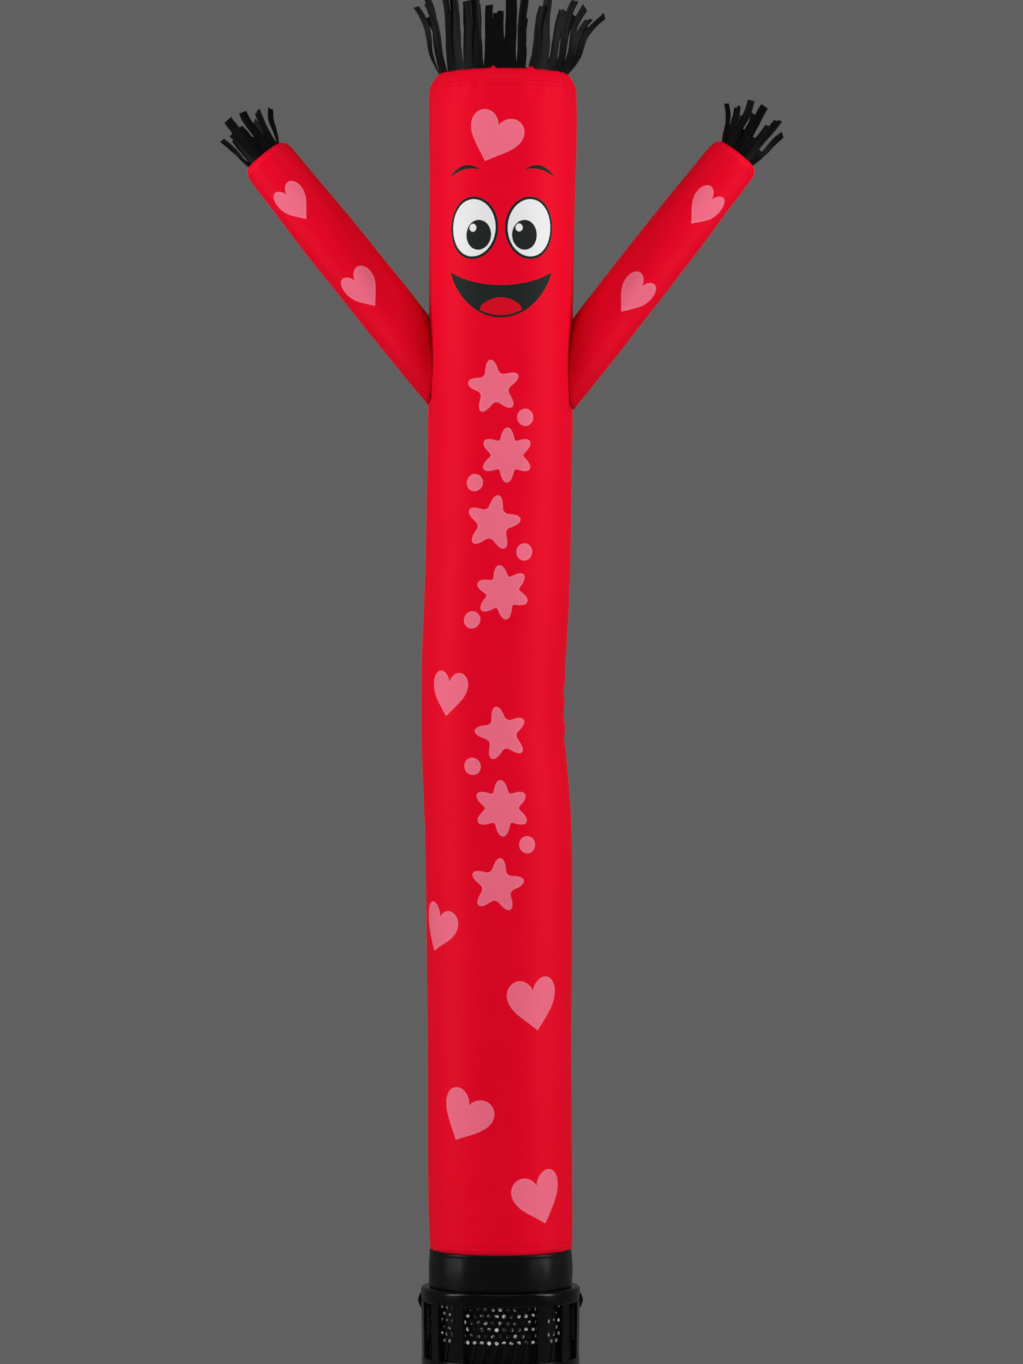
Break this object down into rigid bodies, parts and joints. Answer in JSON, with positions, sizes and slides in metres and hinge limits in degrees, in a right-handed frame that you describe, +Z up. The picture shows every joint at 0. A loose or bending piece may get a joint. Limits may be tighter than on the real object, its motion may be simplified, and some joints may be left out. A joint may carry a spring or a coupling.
{
  "type": "inflatable air dancer on its blower",
  "caption": "Upright inflated cloth tube with two raised arms, strip fringes for hair and hands, and a cuff round a low round blower's neck.",
  "frame": {"origin": "centre of the blower's flat underside, on the surface it stands on", "axes": "+Z up along the tube, +X to the figure's arm on the right as seen from the front, -Y towards the viewer"},
  "size_m": [0.8734, 0.2688, 2.233],
  "materials": {
    "red_nylon": "smooth woven nylon with a soft sheen",
    "black_nylon": "smooth woven nylon with a soft sheen",
    "black_plastic": "moulded, satin",
    "pale_plastic": "moulded, satin"
  },
  "bodies": {
    "root": {"body_tube": "red_nylon", "left_arm": "red_nylon", "right_arm": "red_nylon", "cuff": "black_nylon", "hair_fringe": "black_nylon", "left_hand_fringe": "black_nylon", "right_hand_fringe": "black_nylon", "blower_outlet": "black_plastic", "blower_cage": "black_plastic", "guard_drum": "black_plastic", "fan_core": "pale_plastic", "blower_base": "black_plastic", "rim_lug_left": "black_plastic", "rim_lug_right": "black_plastic", "cable_gland": "black_plastic"}
  },
  "joints": []
}
